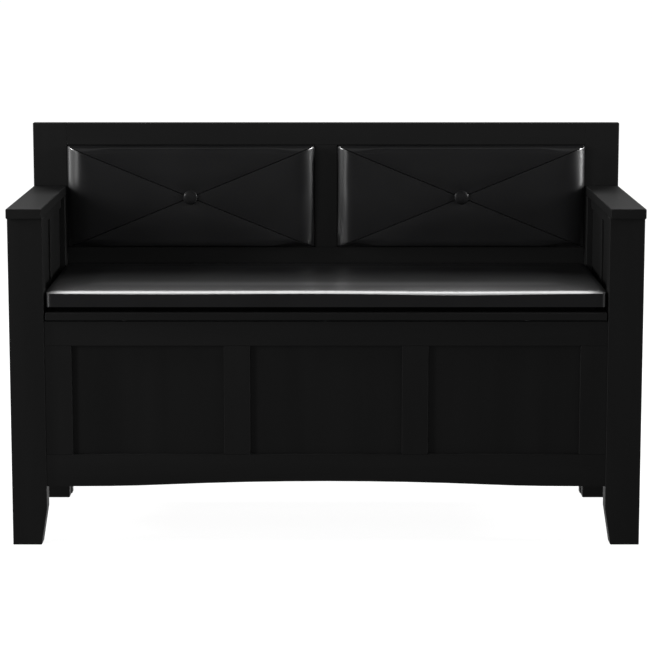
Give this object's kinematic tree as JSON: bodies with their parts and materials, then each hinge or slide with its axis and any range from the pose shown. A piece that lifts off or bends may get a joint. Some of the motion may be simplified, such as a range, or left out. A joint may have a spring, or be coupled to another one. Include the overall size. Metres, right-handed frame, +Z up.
{
  "type": "storage bench",
  "caption": "Timber storage bench: a padded seat lid hinged over a panelled box, with flat arms, framed sides and a framed back holding buttoned cushions.",
  "frame": {"origin": "on the floor, under the middle of the bench's outer box", "axes": "+Z up, +X along the bench to the right as seen from the front, +Y towards the back; the seat faces -Y"},
  "size_m": [1.26, 0.438, 0.816],
  "materials": {
    "black_wood": "black satin lacquer over wood, fine grain just showing",
    "stained_board": "black stained board, matt",
    "black_vinyl": "black grained vinyl with a soft gloss",
    "plywood": "raw plywood",
    "beech": "raw beech",
    "zinc_steel": "zinc plated",
    "black_steel": "black oxide",
    "rubber": "soft black rubber"
  },
  "bodies": {
    "frame": {"arm_left": "black_wood", "arm_right": "black_wood", "back_bolts": "black_steel", "back_bottom_rail": "black_wood", "back_button_left": "black_vinyl", "back_button_right": "black_vinyl", "back_cover_left": "stained_board", "back_cover_right": "stained_board", "back_cushion_base_left": "plywood", "back_cushion_base_right": "plywood", "back_cushion_left": "black_vinyl", "back_cushion_right": "black_vinyl", "back_lower_rail": "black_wood", "back_mid_stile": "black_wood", "back_stile_left": "black_wood", "back_stile_right": "black_wood", "back_top_rail": "black_wood", "box_rear_panel": "stained_board", "floor_bearer": "stained_board", "floor_board": "stained_board", "floor_long_cleats": "stained_board", "floor_side_cleats": "stained_board", "frame_dowels": "beech", "front_bottom_rail": "black_wood", "front_end_stile_left": "black_wood", "front_end_stile_right": "black_wood", "front_leg_left": "black_wood", "front_leg_right": "black_wood", "front_mid_stile_left": "black_wood", "front_mid_stile_right": "black_wood", "front_panel_left": "black_wood", "front_panel_middle": "black_wood", "front_panel_right": "black_wood", "front_top_rail": "black_wood", "hinge_fixed_leaves": "zinc_steel", "hinge_pins": "zinc_steel", "hinge_rail": "black_wood", "lid_bumpers": "rubber", "rear_leg_left": "black_wood", "rear_leg_right": "black_wood", "seat_side_rail_left": "black_wood", "seat_side_rail_right": "black_wood", "side_bottom_rail_left": "black_wood", "side_bottom_rail_right": "black_wood", "side_front_panel_left": "black_wood", "side_front_panel_right": "black_wood", "side_mid_stile_left": "black_wood", "side_mid_stile_right": "black_wood", "side_rear_panel_left": "black_wood", "side_rear_panel_right": "black_wood", "side_top_rail_left": "black_wood", "side_top_rail_right": "black_wood"},
    "lid": {"seat_lid": "black_wood", "seat_pad_base": "black_wood", "seat_pad": "black_vinyl", "hinge_lid_leaves": "zinc_steel"}
  },
  "joints": [
    {"name": "lid_hinge", "type": "hinge", "parent": "frame", "child": "lid", "pos_m": [0, 0.113, 0.4534], "axis": [-1, 0, 0], "range_deg": [0, 85]}
  ]
}
